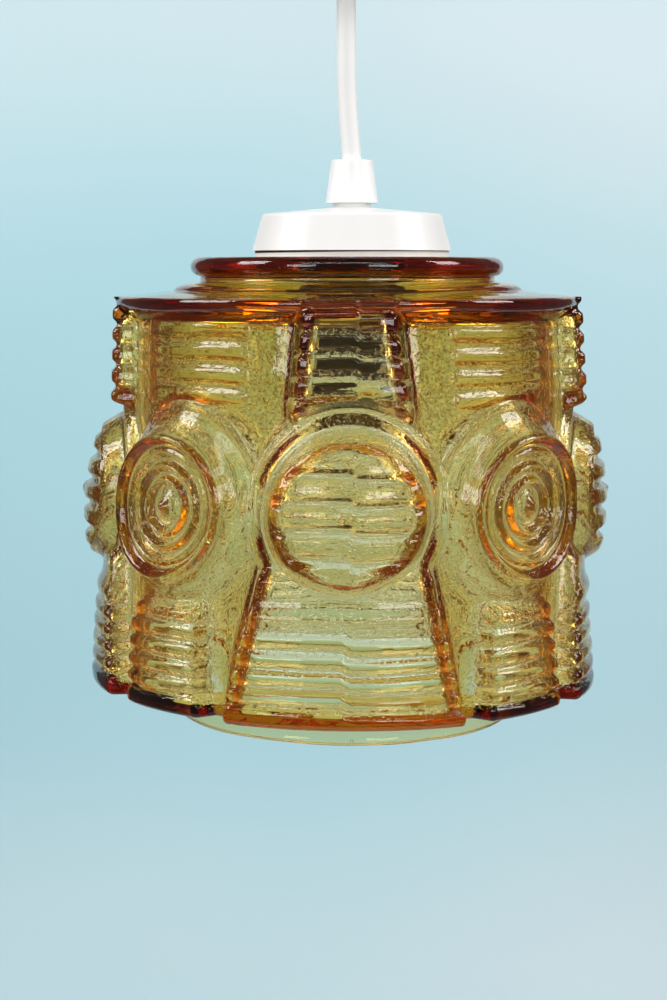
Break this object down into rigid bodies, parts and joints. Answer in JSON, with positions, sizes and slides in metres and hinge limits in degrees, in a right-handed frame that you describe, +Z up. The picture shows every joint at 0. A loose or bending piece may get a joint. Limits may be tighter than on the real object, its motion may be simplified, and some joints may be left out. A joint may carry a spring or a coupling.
{
  "type": "pendant ceiling light",
  "caption": "Pendant ceiling light: rose, short flex, white cap, E27 lampholder and an amber relief glass drum shade clamped by a threaded ring.",
  "frame": {"origin": "on the ceiling, at the middle of the rose's flat back", "axes": "+Z up, out of the ceiling rose into the ceiling; the lamp hangs along -Z; -Y faces the front"},
  "size_m": [0.18, 0.18, 0.2862],
  "materials": {
    "white_plastic": "moulded, satin gloss",
    "white_flex": "smooth PVC sheath",
    "wire_insulation": "smooth PVC insulation",
    "black_bakelite": "moulded, semi-gloss",
    "ceramic": "unglazed steatite",
    "brass": "pressed, slightly dulled",
    "steel": "zinc plated",
    "dark_rubber": "matt",
    "amber_glass": "mould-blown, rippled and stippled"
  },
  "bodies": {
    "ceiling_rose": {"rose_base": "white_plastic", "terminal_block": "white_plastic", "terminals": "brass", "terminal_screws": "steel", "cord_clamp": "white_plastic", "clamp_screws": "steel", "rose_lead": "white_flex", "rose_wires": "wire_insulation"},
    "rose_cover": {"rose_cover": "white_plastic"},
    "flex": {"cord": "white_flex"},
    "grip": {"cord_grip": "white_plastic", "grip_screw": "steel", "grip_lead": "white_flex"},
    "head": {"nipple": "steel", "cap": "white_plastic", "star_washer": "steel", "lock_nut": "steel", "holder_dome": "black_bakelite", "holder_skirt": "black_bakelite", "holder_insert": "ceramic", "screw_shell": "brass", "centre_contact": "brass", "side_contact": "brass", "contact_screws": "steel", "holder_wires": "wire_insulation"},
    "shade": {"glass_shade": "amber_glass", "seat_washer": "dark_rubber"},
    "shade_ring": {"shade_ring": "black_bakelite"}
  },
  "joints": [
    {"name": "cover_turn", "type": "hinge", "parent": "ceiling_rose", "child": "rose_cover", "pos_m": [0, 0, -0.01], "axis": [0, 0, 1], "range_deg": [0, 45]},
    {"name": "swing_side", "type": "hinge", "parent": "ceiling_rose", "child": "flex", "pos_m": [0, 0, -0.033], "axis": [0, 1, 0], "range_deg": [-20, 20]},
    {"name": "swing_front", "type": "hinge", "parent": "flex", "child": "grip", "pos_m": [0.002, 0, -0.0975], "axis": [1, 0, 0], "range_deg": [-20, 20]},
    {"name": "lamp_turn", "type": "hinge", "parent": "grip", "child": "head", "pos_m": [0.002, 0, -0.1135], "axis": [0, 0, 1], "range_deg": [-180, 180]},
    {"name": "shade_drop", "type": "slide", "parent": "head", "child": "shade", "axis": [0, 0, -1], "range_m": [0, 0.036]},
    {"name": "ring_turn", "type": "hinge", "parent": "shade", "child": "shade_ring", "pos_m": [0.002, 0, -0.14], "axis": [0, 0, -1], "range_deg": [0, 3240.5]}
  ],
  "couplings": [
    {"joint": "ring_turn", "follows": "shade_drop", "rad_per_m": 1570.8}
  ]
}
